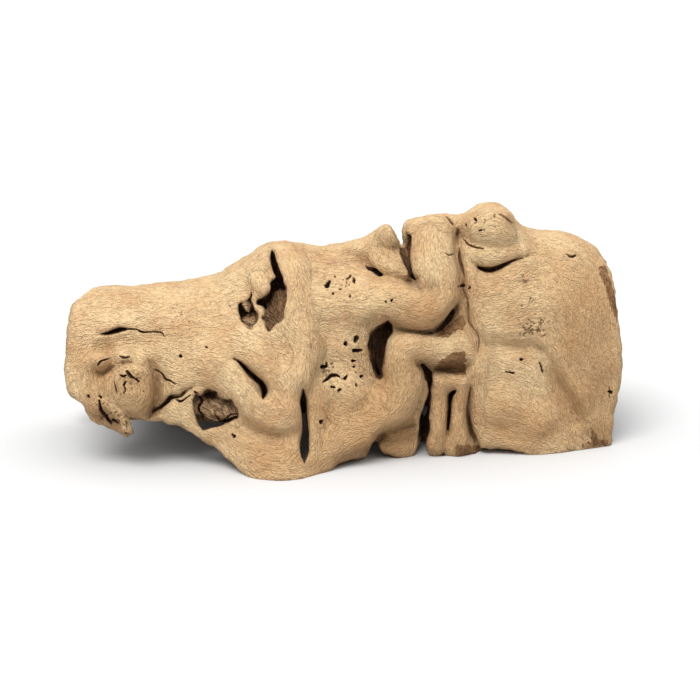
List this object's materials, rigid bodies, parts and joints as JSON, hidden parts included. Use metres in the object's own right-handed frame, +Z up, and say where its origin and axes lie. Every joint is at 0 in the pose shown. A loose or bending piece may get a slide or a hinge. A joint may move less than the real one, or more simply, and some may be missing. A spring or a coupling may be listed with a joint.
{
  "type": "grapevine wood tunnel",
  "caption": "Hollow length of sandblasted grapevine trunk, an open arch with both ends open, folded and creased, with natural holes and slots.",
  "frame": {"origin": "middle of the bounding box in plan, on the floor that the wood stands on", "axes": "+X along the tunnel towards its tall end, +Y towards the plain back wall, +Z up"},
  "size_m": [0.2746, 0.1274, 0.1181],
  "materials": {
    "grapevine_wood": "sandblasted, dry and matt"
  },
  "bodies": {
    "root": {"grapevine_tunnel": "grapevine_wood"}
  },
  "joints": []
}
